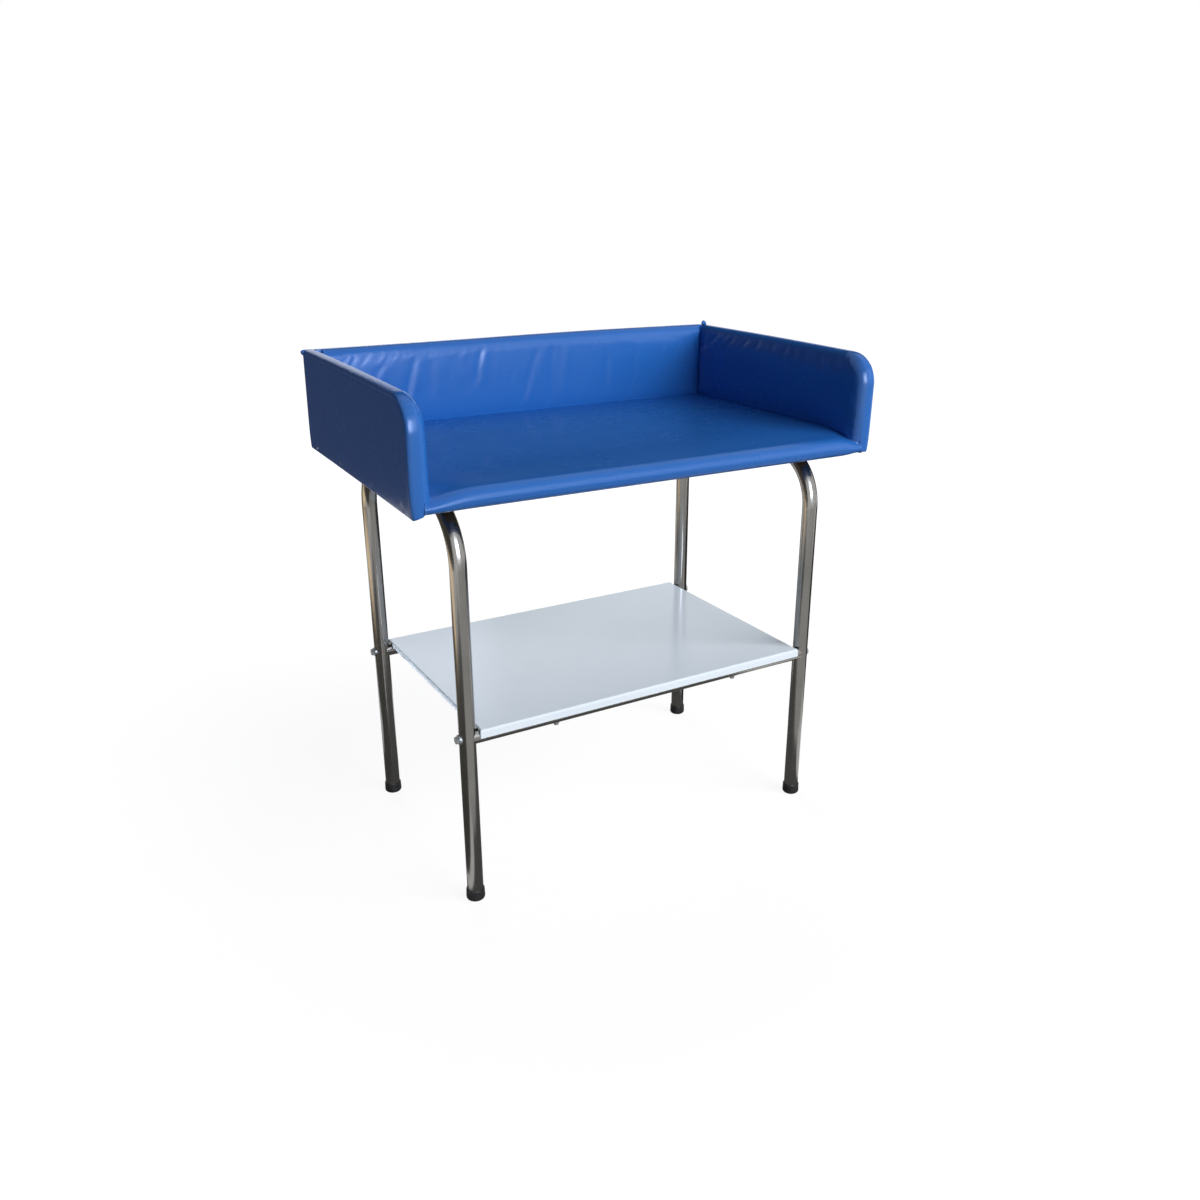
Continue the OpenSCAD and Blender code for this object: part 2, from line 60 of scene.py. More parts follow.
def makeCamera(s):
    turn, tilt, roll = (math.radians(s[k]) for k in ("turn", "tilt", "roll"))
    ahead = Vector((math.sin(turn) * math.cos(tilt), math.cos(turn) * math.cos(tilt), -math.sin(tilt)))
    right = Vector((math.cos(turn), -math.sin(turn), 0))
    up = right.cross(ahead)
    right, up = (math.cos(roll) * right + math.sin(roll) * up, math.cos(roll) * up - math.sin(roll) * right)
    data = bpy.data.cameras.new("camera")
    data.sensor_width = s["sensor"]
    data.lens = s["focal"] / s["width"] * s["sensor"]
    data.shift_x = (s["width"] / 2 - s["centre"][0]) / s["width"]
    data.shift_y = (s["centre"][1] - s["width"] / 2) / s["width"]
    data.clip_start, data.clip_end = 0.05, 60
    camera = bpy.data.objects.new("camera", data)
    scene.collection.objects.link(camera)
    turned = Matrix((right, up, -ahead)).transposed().to_4x4()
    camera.matrix_world = Matrix.Translation(s["place"]) @ turned
    scene.camera = camera


makeCamera(cameraSetup)
print("camera placed")

# MATERIALS


def fromHex(code):
    # sRGB hex to the linear colour that shaders take
    parts = [int(code[i:i + 2], 16) / 255 for i in (1, 3, 5)]
    return [c / 12.92 if c <= 0.04045 else ((c + 0.055) / 1.055) ** 2.4 for c in parts] + [1]


def perMetre(millimetres):
    # texture scale of a pattern whose repeat is that many millimetres
    return 1000 / millimetres


def addNode(tree, kind, links=None, values=None, **settings):
    # one node with its settings, its socket values and what feeds its sockets
    node = tree.nodes.new(kind)
    for key, value in settings.items():
        setattr(node, key, value)
    for key, value in (values or {}).items():
        node.inputs[key].default_value = value
    for key, source in (links or {}).items():
        tree.links.new(source, node.inputs[key])
    return node


def startMaterial(name, **values):
    material = bpy.data.materials.new(name)
    material.use_nodes = True
    tree = material.node_tree
    shader = tree.nodes["Principled BSDF"]
    for key, value in values.items():
        shader.inputs[key.replace("_", " ")].default_value = value
    return material, tree, shader


vinylLook = {
    "blue": "#2264b6",
    "deepBlue": "#1e5cac",
    "patchSize": 180,      # mm between a lighter and a deeper patch of the blue
    "satin": (0.25, 0.31),  # roughness, from the most rubbed patches to the least
    "grainSize": 2.4,      # mm; the embossed grain is about 1 mm, drawn coarser so that it shows
    "grainDepth": 0.00006,
    "waveSize": 55,        # mm; the foam under the skin is never quite flat
    "waveDepth": 0.0007,
}


def makeVinyl(s):
    # PVC coated upholstery cloth, calendered and embossed: satin, with a soft broad sheen
    material, tree, shader = startMaterial("embossedVinyl", Roughness=0.28, IOR=1.48, Specular_IOR_Level=0.4)
    place = addNode(tree, "ShaderNodeTexCoord").outputs["Object"]
    cloudy = {"Scale": perMetre(s["patchSize"]), "Detail": 3, "Roughness": 0.6}
    patches = addNode(tree, "ShaderNodeTexNoise", {"Vector": place}, cloudy)
    tone = addNode(tree, "ShaderNodeMix", {"Factor": patches.outputs["Fac"]}, data_type="RGBA")
    tone.inputs[6].default_value = fromHex(s["blue"])
    tone.inputs[7].default_value = fromHex(s["deepBlue"])
    tree.links.new(tone.outputs[2], shader.inputs["Base Color"])
    satin = {"From Min": 0.3, "From Max": 0.7, "To Min": s["satin"][0], "To Max": s["satin"][1]}
    shine = addNode(tree, "ShaderNodeMapRange", {"Value": patches.outputs["Fac"]}, satin)
    tree.links.new(shine.outputs["Result"], shader.inputs["Roughness"])
    wavy = {"Scale": perMetre(s["waveSize"]), "Detail": 2, "Roughness": 0.5}
    waves = addNode(tree, "ShaderNodeTexNoise", {"Vector": place}, wavy)
    swell = {"Strength": 0.35, "Distance": s["waveDepth"]}
    broad = addNode(tree, "ShaderNodeBump", {"Height": waves.outputs["Fac"]}, swell)
    pebbles = {"Scale": perMetre(s["grainSize"]), "Randomness": 1}
    cells = addNode(tree, "ShaderNodeTexVoronoi", {"Vector": place}, pebbles, feature="DISTANCE_TO_EDGE")
    pressed = {"Height": cells.outputs["Distance"], "Normal": broad.outputs["Normal"]}
    grain = addNode(tree, "ShaderNodeBump", pressed, {"Strength": 0.25, "Distance": s["grainDepth"]})
    tree.links.new(grain.outputs["Normal"], shader.inputs["Normal"])
    return material


steelLook = {
    "bright": "#a3a19e",
    "dull": "#868481",
    "lineWidth": 0.8,     # mm across a polishing line
    "lineLength": 60,     # mm along it
    "stainSize": 90,      # mm of a duller patch
    "polish": (0.14, 0.27),
    "scratchDepth": 0.00002,
}


def makeTubeSteel(name, along, s):
    # stainless tube, ground and polished lengthwise: sharp reflections drawn out a little across the tube
    material, tree, shader = startMaterial(name, Metallic=1.0, Roughness=0.2)
    place = addNode(tree, "ShaderNodeTexCoord").outputs["Object"]
    stretch = [perMetre(s["lineWidth"])] * 3
    stretch[along] = perMetre(s["lineLength"])
    laid = addNode(tree, "ShaderNodeMapping", {"Vector": place}, {"Scale": stretch})
    drawn = {"Scale": 1, "Detail": 3, "Roughness": 0.6}
    lines = addNode(tree, "ShaderNodeTexNoise", {"Vector": laid.outputs["Vector"]}, drawn)
    cloudy = {"Scale": perMetre(s["stainSize"]), "Detail": 4, "Roughness": 0.65}
    stains = addNode(tree, "ShaderNodeTexNoise", {"Vector": place}, cloudy)
    tone = addNode(tree, "ShaderNodeMix", {"Factor": stains.outputs["Fac"]}, data_type="RGBA")
    tone.inputs[6].default_value = fromHex(s["bright"])
    tone.inputs[7].default_value = fromHex(s["dull"])
    tree.links.new(tone.outputs[2], shader.inputs["Base Color"])
    polish = {"From Min": 0.25, "From Max": 0.75, "To Min": s["polish"][0], "To Max": s["polish"][1]}
    rough = addNode(tree, "ShaderNodeMapRange", {"Value": lines.outputs["Fac"]}, polish)
    tree.links.new(rough.outputs["Result"], shader.inputs["Roughness"])
    hairline = {"Strength": 0.1, "Distance": s["scratchDepth"]}
    scratch = addNode(tree, "ShaderNodeBump", {"Height": lines.outputs["Fac"]}, hairline)
    tree.links.new(scratch.outputs["Normal"], shader.inputs["Normal"])
    return material


enamelLook = {
    "white": "#e2eefb",
    "faded": "#dae7f5",
    "fadeSize": 140,      # mm of a faded patch
    "peelSize": 3.0,      # mm of a bump of the orange peel
    "peelDepth": 0.00003,
}


def makeEnamel(s):
    # steel sheet, powder coated and stoved: glossy white with faint orange peel
    material, tree, shader = startMaterial("powderCoatedSheet", Roughness=0.16, IOR=1.5)
    place = addNode(tree, "ShaderNodeTexCoord").outputs["Object"]
    cloudy = {"Scale": perMetre(s["fadeSize"]), "Detail": 4, "Roughness": 0.6}
    dust = addNode(tree, "ShaderNodeTexNoise", {"Vector": place}, cloudy)
    tone = addNode(tree, "ShaderNodeMix", {"Factor": dust.outputs["Fac"]}, data_type="RGBA")
    tone.inputs[6].default_value = fromHex(s["white"])
    tone.inputs[7].default_value = fromHex(s["faded"])
    tree.links.new(tone.outputs[2], shader.inputs["Base Color"])
    bumps = {"Scale": perMetre(s["peelSize"]), "Detail": 1}
    peel = addNode(tree, "ShaderNodeTexNoise", {"Vector": place}, bumps)
    shallow = {"Strength": 0.2, "Distance": s["peelDepth"]}
    skin = addNode(tree, "ShaderNodeBump", {"Height": peel.outputs["Fac"]}, shallow)
    tree.links.new(skin.outputs["Normal"], shader.inputs["Normal"])
    return material


rubberLook = {
    "black": "#141415",
    "bloom": "#2b2b2d",
    "bloomSize": 12,      # mm of a patch of bloom
    "rough": (0.35, 0.6),
}


def makeRubber(s):
    # natural rubber, moulded: nearly black, dull, with a greyish bloom
    material, tree, shader = startMaterial("mouldedRubber", Roughness=0.45, IOR=1.52)
    place = addNode(tree, "ShaderNodeTexCoord").outputs["Object"]
    cloudy = {"Scale": perMetre(s["bloomSize"]), "Detail": 4, "Roughness": 0.6}
    bloom = addNode(tree, "ShaderNodeTexNoise", {"Vector": place}, cloudy)
    tone = addNode(tree, "ShaderNodeMix", {"Factor": bloom.outputs["Fac"]}, data_type="RGBA")
    tone.inputs[6].default_value = fromHex(s["black"])
    tone.inputs[7].default_value = fromHex(s["bloom"])
    tree.links.new(tone.outputs[2], shader.inputs["Base Color"])
    dull = {"To Min": s["rough"][0], "To Max": s["rough"][1]}
    rough = addNode(tree, "ShaderNodeMapRange", {"Value": bloom.outputs["Fac"]}, dull)
    tree.links.new(rough.outputs["Result"], shader.inputs["Roughness"])
    return material


zincLook = {"pale": "#b4b8bb", "grey": "#8b8f92", "cloudSize": 4}


def makeZinc(s):
    # steel fasteners, electroplated with zinc: cool grey with a slightly cloudy shine
    material, tree, shader = startMaterial("zincPlatedSteel", Metallic=1.0, Roughness=0.32)
    place = addNode(tree, "ShaderNodeTexCoord").outputs["Object"]
    cloudy = {"Scale": perMetre(s["cloudSize"]), "Detail": 3}
    cloud = addNode(tree, "ShaderNodeTexNoise", {"Vector": place}, cloudy)
    tone = addNode(tree, "ShaderNodeMix", {"Factor": cloud.outputs["Fac"]}, data_type="RGBA")
    tone.inputs[6].default_value = fromHex(s["pale"])
    tone.inputs[7].default_value = fromHex(s["grey"])
    tree.links.new(tone.outputs[2], shader.inputs["Base Color"])
    return material


# the ply's deep browns are painted shade: they stand in for the little light under the deck
plyLook = {
    "early": "#54412f",
    "late": "#35281c",
    "grainLength": 90,    # mm along the grain
    "grainWidth": 4,      # mm across it
}


def makePlywood(s):
    # birch plywood, oiled, with long grain; its deep brown is painted shade, so that the polished tubes
    # mirror the deck's dim underside dark
    material, tree, shader = startMaterial("shadeDarkenedBirchPly", Roughness=0.5, IOR=1.5)
    place = addNode(tree, "ShaderNodeTexCoord").outputs["Object"]
    stretch = [perMetre(s[k]) for k in ("grainLength", "grainWidth", "grainWidth")]
    laid = addNode(tree, "ShaderNodeMapping", {"Vector": place}, {"Scale": stretch})
    drawn = {"Scale": 1, "Detail": 5, "Roughness": 0.6}
    grain = addNode(tree, "ShaderNodeTexNoise", {"Vector": laid.outputs["Vector"]}, drawn)
    tone = addNode(tree, "ShaderNodeMix", {"Factor": grain.outputs["Fac"]}, data_type="RGBA")
    tone.inputs[6].default_value = fromHex(s["early"])
    tone.inputs[7].default_value = fromHex(s["late"])
    tree.links.new(tone.outputs[2], shader.inputs["Base Color"])
    return material


vinyl = makeVinyl(vinylLook)
finishes = {
    "steel": makeTubeSteel("polishedTubeUpright", 2, steelLook),
    "enamel": makeEnamel(enamelLook),
    "rubber": makeRubber(rubberLook),
    "zinc": makeZinc(zincLook),
    "plywood": makePlywood(plyLook),
    "foam": vinyl,
    "vinyl": vinyl,
}
railSteel = makeTubeSteel("polishedTubeAcross", 0, steelLook)


def dress(piece, material):
    piece.data.materials.clear()
    piece.data.materials.append(material)


for part in frame["record"]["subparts"]:
    dress(nodes[part["node"]], finishes[part["material_slot"]])
for name in ("front_shelf_rail", "rear_shelf_rail"):
    dress(nodes[name], railSteel)
print("materials on the frame's nodes")

# UPHOLSTERY
# A pad is worked out lying on its board: u and v run along the board and w rises from the
# board side to the foam side. Its sides are numbered from v low, anticlockwise.

bed = {
    "width": 0.92,
    "depth": 0.558,
    "base": 0.759,       # height of the pads' lower faces
    "height": 0.188,
    "board": 0.018,      # board with its vinyl on both sides
    "panel": 0.031,      # padded panel
    "deck": 0.035,
    "gap": 0.0003,
    "cornerRadius": 0.06,
    "fold": 0.03,        # vinyl stapled under the deck
    "foldDepth": 0.003,  # how far the skin steps in behind that fold
}
deckWide = bed["width"] - 2 * (bed["board"] + bed["gap"])
deckEnd = bed["depth"] / 2 - bed["board"] - bed["gap"]
deckStep = bed["deck"] + bed["gap"]
tightR = 0.002
endR = 0.006
tight = (tightR, endR, 0)
padded = (None, 0.020, 0)
nose = (0.0175, 0.0175, 0)
noseReach = 0.021        # how far back the deck's upper face starts to curve down
nosePad = 0.018          # foam past the deck board at the front
# a free edge from the outside: the skin creases at the board's rim, then rolls over foam
foamRoll = [(0.0125, 0), (0.0110, 0.0009), (0.0084, -0.0009), (0.0036, -0.0006), (0.0005, 0.0036)]


def sideRows(edge, heights):
    # (inset, height) from the board face, round one side, to the foam face
    boardR, foamR, step = edge
    low, mid, high = heights
    start = 0
    if boardR is None:
        rise = [w - (high - foamR) for w in (mid - 0.0012, mid - 0.0004, mid + 0.0002, mid + 0.0008)]
        rows = foamRoll + [(foamR - math.sqrt(foamR ** 2 - r ** 2), high - foamR + r) for r in rise]
        start = math.asin(rise[3] / foamR) + 0.14
    else:
        arc = [math.radians(22.5 * i) for i in range(5)]
        rows = [(boardR * (1 - math.sin(a)), low + boardR * (1 - math.cos(a))) for a in arc]
        if step:
            rows += [(0, mid - 0.0012), (0.0012, mid), (step - 0.001, mid), (step, mid + 0.001)]
        else:
            rows += [(0, low + boardR + (high - foamR - low - boardR) * t) for t in (0.2, 0.4, 0.6, 0.8)]
    reach = noseReach if edge is nose else foamR
    for i in range(8):
        a = start + (math.pi / 2 - start) * i / 7
        rows.append((step + reach * (1 - math.cos(a)), high - foamR * (1 - math.sin(a))))
    return rows


def roundCorners(u, v, box, radii):
    # squares the points' corner cells onto quarter discs, so that the grid follows a round corner
    u, v = u.copy(), v.copy()
    for k, r in enumerate(radii):
        su, sv = (1 if k in (1, 2) else -1), (1 if k in (2, 3) else -1)
        cu = (box[2] - r) if su > 0 else (box[0] + r)
        cv = (box[3] - r) if sv > 0 else (box[1] + r)
        x, y = (u - cu) * su / r, (v - cv) * sv / r
        inside = (x > 0) & (y > 0)
        nx, ny = x * np.sqrt(np.clip(1 - y * y / 2, 0, 1)), y * np.sqrt(np.clip(1 - x * x / 2, 0, 1))
        u[inside] = (cu + su * r * nx)[inside]
        v[inside] = (cv + sv * r * ny)[inside]
    return u, v


def closerAtEnds(count, share):
    # grid lines from 0 to 1 that crowd towards both ends, so that the corners stay crisp
    t = np.linspace(0, 1, count + 1)
    return t - share * np.sin(2 * np.pi * t) / (2 * np.pi)


def padForm(s):
    # the pad's points (u, v, w), its quads, and how free the skin is at each point
    box, heights = s["box"], s["heights"]
    nu = round((box[2] - box[0]) / s["spacing"][0])
    nv = round((box[3] - box[1]) / s["spacing"][1])
    rows = [sideRows(e, heights) for e in s["edges"]]
    count = len(rows[0])
    fu, fv = closerAtEnds(nu, s["closer"]), closerAtEnds(nv, s["closer"])
    around = [(i, 0) for i in range(nu)] + [(nu, j) for j in range(nv)]
    around += [(nu - i, nv) for i in range(nu)] + [(0, nv - j) for j in range(nv)]
    around = np.array(around)
    length = len(around)
    sideOf = np.repeat([0, 1, 2, 3], [nu, nv, nu, nv])
    corners = [0, nu, nu + nv, 2 * nu + nv]

    def ringAt(i):
        # the box, the corner radii and the heights of one ring
        ins = [rows[k][i][0] for k in range(4)]
        lift = [rows[k][i][1] for k in range(4)]
        b = (box[0] + ins[3], box[1] + ins[0], box[2] - ins[1], box[3] - ins[2])
        radii = [max(s["radii"][k] - (ins[k] + ins[k - 1]) / 2, s["radii"][k] / 4, 0.0004) for k in range(4)]
        w = np.array(lift)[sideOf]
        for k, c in enumerate(corners):
            w[c] = (lift[k] + lift[k - 1]) / 2
        return b, radii, w

    def between(inner, outer):
        # the quads of the band between two rings
        return np.stack([inner, np.roll(inner, -1), np.roll(outer, -1), outer], -1)

    def across(index, turned):
        # the quads of a face grid, turned over for the board face
        a, b, c, d = index[:-1, :-1], index[1:, :-1], index[1:, 1:], index[:-1, 1:]
        return np.stack([a, d, c, b] if turned else [a, b, c, d], -1).reshape(-1, 4)

    verts, quads = [], []
    firstBox, firstRadii, _ = ringAt(0)
    gridU, gridV = np.meshgrid(fu, fv, indexing="ij")
    u0 = firstBox[0] + gridU * (firstBox[2] - firstBox[0])
    v0 = firstBox[1] + gridV * (firstBox[3] - firstBox[1])
    u0, v0 = roundCorners(u0, v0, firstBox, firstRadii)
    backGrid = np.stack([u0, v0, np.full_like(u0, heights[0])], -1)
    verts.append(backGrid.reshape(-1, 3))
    backIndex = np.arange((nu + 1) * (nv + 1)).reshape(nu + 1, nv + 1)
    previous = backIndex[around[:, 0], around[:, 1]]
    quads.append(across(backIndex, True))
    total = len(verts[0])
    for i in range(1, count - 1):
        b, radii, w = ringAt(i)
        u = b[0] + fu[around[:, 0]] * (b[2] - b[0])
        v = b[1] + fv[around[:, 1]] * (b[3] - b[1])
        u, v = roundCorners(u, v, b, radii)
        verts.append(np.stack([u, v, w], -1))
        index = total + np.arange(length)
        quads.append(between(previous, index))
        previous, total = index, total + length
    b, radii, w = ringAt(count - 1)
    gu, gv = gridU * (b[2] - b[0]), gridV * (b[3] - b[1])
    wide, deep = b[2] - b[0], b[3] - b[1]
    reach = [min(0.35 * wide, 0.6 * deep), min(0.35 * deep, 0.6 * wide)]
    rise = np.sin(np.pi / 2 * np.clip(np.minimum(gu, wide - gu) / reach[0], 0, 1))
    rise = rise * np.sin(np.pi / 2 * np.clip(np.minimum(gv, deep - gv) / reach[1], 0, 1))
    u1, v1 = roundCorners(b[0] + gu, b[1] + gv, b, radii)
    verts.append(np.stack([u1, v1, heights[2] + s["crown"] * rise], -1).reshape(-1, 3))
    faceIndex = total + np.arange((nu + 1) * (nv + 1)).reshape(nu + 1, nv + 1)
    index = faceIndex[around[:, 0], around[:, 1]]
    quads.append(between(previous, index))
    quads.append(across(faceIndex, False))
    verts = np.concatenate(verts)
    # how free the skin is over the foam: 0 where it is stapled over board, 1 on the open face
    free = np.clip((verts[:, 2] - heights[1]) / (heights[2] - heights[1]), 0, 1)
    if s["lies"] == "deck":
        front = np.clip(1 - (verts[:, 1] - box[1]) / nosePad, 0, 1)
        free = np.maximum(free, np.where(verts[:, 2] > heights[0] + 0.004, front, 0))
    return verts, np.concatenate(quads), free


def newPiece(name, points, faces):
    mesh = bpy.data.meshes.new(name)
    mesh.from_pydata([tuple(p) for p in points], [], [tuple(int(i) for i in f) for f in faces])
    mesh.validate()
    mesh.shade_smooth()
    piece = bpy.data.objects.new(name, mesh)
    scene.collection.objects.link(piece)
    return piece


def readPoints(mesh):
    flat = np.zeros(len(mesh.vertices) * 3, np.float32)
    mesh.vertices.foreach_get("co", flat)
    return flat.reshape(-1, 3).astype(float)


# the cloth step that all pads share
skinStep = {"frames": 20, "quality": 4, "mass": 0.4, "hold": 5}


def settleSkin(piece, free, s):
    # the skin is a little larger than its board and is pressed out by the foam, so it swells and ruckles
    group = piece.vertex_groups.new(name="held")
    for level in np.unique(np.round(1 - free, 2)):
        if level > 0:
            picked = np.nonzero(np.abs(np.round(1 - free, 2) - level) < 0.001)[0]
            group.add([int(i) for i in picked], float(level), "REPLACE")
    cloth = piece.modifiers.new("skin", "CLOTH")
    settings = cloth.settings
    settings.quality = skinStep["quality"]
    settings.mass = skinStep["mass"]
    settings.tension_stiffness = settings.compression_stiffness = s["stiffness"]
    settings.shear_stiffness = s["stiffness"] / 3
    settings.bending_stiffness = s["bending"]
    settings.use_pressure = True
    settings.uniform_pressure_force = s["pressure"]
    settings.vertex_group_mass = "held"
    settings.pin_stiffness = skinStep["hold"]
    settings.shrink_min = -s["slack"]
    settings.effector_weights.gravity = 0
    cloth.collision_settings.use_collision = False
    cloth.point_cache.frame_start, cloth.point_cache.frame_end = 1, skinStep["frames"]
    before = readPoints(piece.data)
    for f in range(1, skinStep["frames"] + 1):
        scene.frame_set(f)
    solved = piece.evaluated_get(bpy.context.evaluated_depsgraph_get()).to_mesh()
    moved = readPoints(solved) - before
    scene.frame_set(1)
    piece.modifiers.remove(cloth)
    far = np.linalg.norm(moved, axis=1, keepdims=True)
    kept = moved * np.where(far > 1e-9, s["most"] * np.tanh(far / s["most"]) / np.maximum(far, 1e-9), 0)
    piece.data.vertices.foreach_set("co", (before + kept).astype(np.float32).ravel())
    piece.data.update()
    print("  skin settled, moved up to", round(float(np.linalg.norm(kept, axis=1).max()) * 1000, 2), "mm")


def layOut(points, frameName):
    # from the pad's own u, v, w to the table's x, y, z
    u, v, w = points[:, 0], points[:, 1], points[:, 2]
    if frameName == "deck":
        return np.stack([u, v, bed["base"] + w], -1)
    if frameName == "back":
        return np.stack([u, bed["depth"] / 2 - w, bed["base"] + v], -1)
    side = -1 if frameName == "left" else 1
    return np.stack([side * (bed["width"] / 2 - w), u, bed["base"] + v], -1)


def makePad(s):
    points, faces, free = padForm(s)
    for shape in s.get("shapes", []):
        points = shape(points, free, s)
    laid = layOut(points, s["lies"])
    if s["lies"] == "right":
        faces = faces[:, ::-1]
    piece = newPiece(s["name"], laid, faces)
    settleSkin(piece, free, s)
    smooth = piece.modifiers.new("smooth", "SUBSURF")
    smooth.levels = smooth.render_levels = 1
    dress(piece, vinyl)
    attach(piece, "root")
    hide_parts(*s["stands"])
    print("pad", s["name"], len(laid), "points")
    return piece


screwPlaces = {
    "side": (-0.235, -0.09, 0.09, 0.235),
    "back": (-0.38, -0.19, 0, 0.19, 0.38),
    "height": 0.009,
    "pull": 0.0008,      # how deep a head draws the skin in
    "reach": 0.006,
}


def dimple(points, free, s):
    # the skin is pulled in under each screw head
    out = points.copy()
    for u in s["screws"]:
        d = np.hypot(points[:, 0] - u, points[:, 1] - screwPlaces["height"])
        pull = screwPlaces["pull"] * np.exp(-(d / screwPlaces["reach"]) ** 2)
        out[:, 2] += np.where(points[:, 2] < 0.001, pull, 0)
    return out


def openBelow(points, free, s):
    # the deck's underside: the vinyl is only folded under the board's rim, so the skin steps in behind it
    out = points.copy()
    b, f = s["box"], bed["fold"]
    inside = (points[:, 0] > b[0] + f) & (points[:, 0] < b[2] - f)
    inside &= (points[:, 1] > b[1] + nosePad + f) & (points[:, 1] < b[3] - f)
    out[:, 2] = np.where(inside & (points[:, 2] < 0.0005), bed["foldDepth"], out[:, 2])
    return out


def bell(x):
    return np.exp(-x * x)


# how far each movement of the deck's front reaches before it fades out, in metres
reaches = {
    "leftFall": 0.05,      # in from the left corner
    "rightFall": 0.03,     # in from the right corner
    "cornerBack": 0.045,   # back from the front edge, at the corners
    "frontBack": 0.06,     # back from the front edge, between them
    "sagBack": 0.07,
    "sagEnd": 0.02,        # in from the right end, where the roll sags less
    "push": 0.012,
    "fillBack": 0.025,
    "fillIn": 0.010,
}


def cornerFall(s, fromLeft, fromRight, fromFront):
    # how far the deck's surface is drawn down towards its front, most of all at the two corners
    left, right = bell(fromLeft / reaches["leftFall"]), bell(fromRight / reaches["rightFall"])
    fall = s["leftFall"] * left + s["rightFall"] * right
    across = fromLeft / (fromLeft + fromRight)
    broad = s["frontFall"][0] + (s["frontFall"][1] - s["frontFall"][0]) * across
    return fall * bell(fromFront / reaches["cornerBack"]) + broad * bell(fromFront / reaches["frontBack"])


def hangNose(points, free, s):
    # the front roll sags below its board and fills the room between the sides
    out = points.copy()
    box = s["box"]
    fromFront = points[:, 1] - box[1]
    fromLeft, fromRight = np.maximum(points[:, 0] - box[0], 0), np.maximum(box[2] - points[:, 0], 0)
    level = np.clip(points[:, 2] / s["heights"][2], 0, 1)
    across = np.clip(fromLeft / (box[2] - box[0]), 0, 1)
    sag = s["sag"][0] + (s["sag"][1] - s["sag"][0]) * across
    sag = sag * (1 - s["sagEase"] * bell(fromRight / reaches["sagEnd"]))
    out[:, 2] -= sag * (1 - level) * np.clip(1 - fromFront / reaches["sagBack"], 0, 1)
    out[:, 2] -= level * cornerFall(s, fromLeft, fromRight, fromFront)
    out[:, 1] -= s["push"] * (1 - level) * bell(fromFront / reaches["push"])
    near = bell(fromFront / reaches["fillBack"]) * np.clip(1.4 - level, 0, 1)
    left, right = bell(fromLeft / reaches["fillIn"]), bell(fromRight / reaches["fillIn"])
    out[:, 0] += near * (s["filling"][1] * right - s["filling"][0] * left)
    return out


def leanOut(points, free, s):
    # the side's free front end leans outwards and droops, its wrapped edge is a little fuller
    # than the rest, and its lower outer corner hangs
    out = points.copy()
    box = s["box"]
    toFront = np.clip((box[2] - points[:, 0]) / (box[2] - box[0]), 0, 1)
    high = np.clip(points[:, 1] / box[3], 0, 1)
    inner = np.clip(points[:, 2] / s["heights"][2], 0, 1)
    low = s["outLow"][0] + (s["outLow"][1] - s["outLow"][0]) * toFront
    outward = low * (1 - high) * (1 - 0.6 * (1 - high) ** 12) + s["outTop"] * toFront * high
    out[:, 2] -= outward * (1 - inner) + s["outTop"] * toFront * high ** 1.3 * inner
    out[:, 1] -= s["topDrop"] * toFront ** 2 * high ** 2
    out[:, 1] -= s["lowDrop"] * toFront ** 1.3 * (1 - high) ** 4 * (1 - inner)
    fromFront = points[:, 0] - box[0]
    swell = bell(fromFront / s["swellReach"]) * np.clip(high * 6, 0, 1)
    out[:, 2] += s["swell"] * swell * np.clip(2 * inner - 1, 0, 1)
    # the foam's lower edge follows the deck, round its nose too
    overDeck = np.clip((points[:, 2] - s["heights"][1]) / 0.001, 0, 1)
    overDeck = overDeck * bell((points[:, 1] - deckStep) / s["followReach"])
    turned = 1 - np.sqrt(1 - np.clip(1 - fromFront / noseReach, 0, 1) ** 2)
    falls = nose[1] * turned + cornerFall(deckPad, *s["ends"], fromFront)
    out[:, 1] -= overDeck * np.minimum(falls, s["followMost"])
    return out


def gather(points, free, s):
    # pleats fan round the top front corner, where the skin has to turn
    out = points.copy()
    r = bed["cornerRadius"]
    du, dv = s["box"][0] + r - points[:, 0], points[:, 1] - (s["box"][3] - r)
    turn = np.arctan2(dv, du)
    outer = np.hypot(du, dv) / r
    fan = bell((turn - math.radians(45)) / s["fanTurn"])
    here = fan * np.clip((outer - s["fanStart"]) / 0.3, 0, 1)
    # coarse pleats and fine ones, neither of them evenly spaced
    skew = turn + 8 * points[:, 2]
    fold = np.sin(skew * 9 + 3 * np.sin(skew * 3)) + 0.4 * np.sin(skew * 23 + 2 * np.sin(skew * 7))
    lift = s["pleat"] * fold * here
    rolled = np.clip((outer - 0.9) / 0.08, 0, 1)
    out[:, 2] += lift * (1 - rolled) * np.where(points[:, 2] > 0.015, 1, -0.3)
    out[:, 0] -= lift * rolled * np.cos(turn)
    out[:, 1] += lift * rolled * np.sin(turn)
    return out


# the long creases of the back's skin, from the left: where each starts at the top and ends
# below, its upper and lower height on the panel, and its depth beside the deepest one
creases = [
    {"from": -0.322, "to": -0.343, "top": 0.150, "low": 0.118, "depth": 0.5},
    {"from": -0.253, "to": -0.283, "top": 0.162, "low": 0.070, "depth": 0.7},
    {"from": -0.113, "to": -0.128, "top": 0.168, "low": 0.100, "depth": 1.0},
    {"from": 0.014, "to": -0.028, "top": 0.160, "low": 0.045, "depth": 0.8},
    {"from": 0.054, "to": 0.042, "top": 0.170, "low": 0.045, "depth": 1.0},
    {"from": 0.072, "to": 0.056, "top": 0.170, "low": 0.045, "depth": 0.9},
    {"from": 0.181, "to": 0.177, "top": 0.135, "low": 0.065, "depth": 0.5},
]


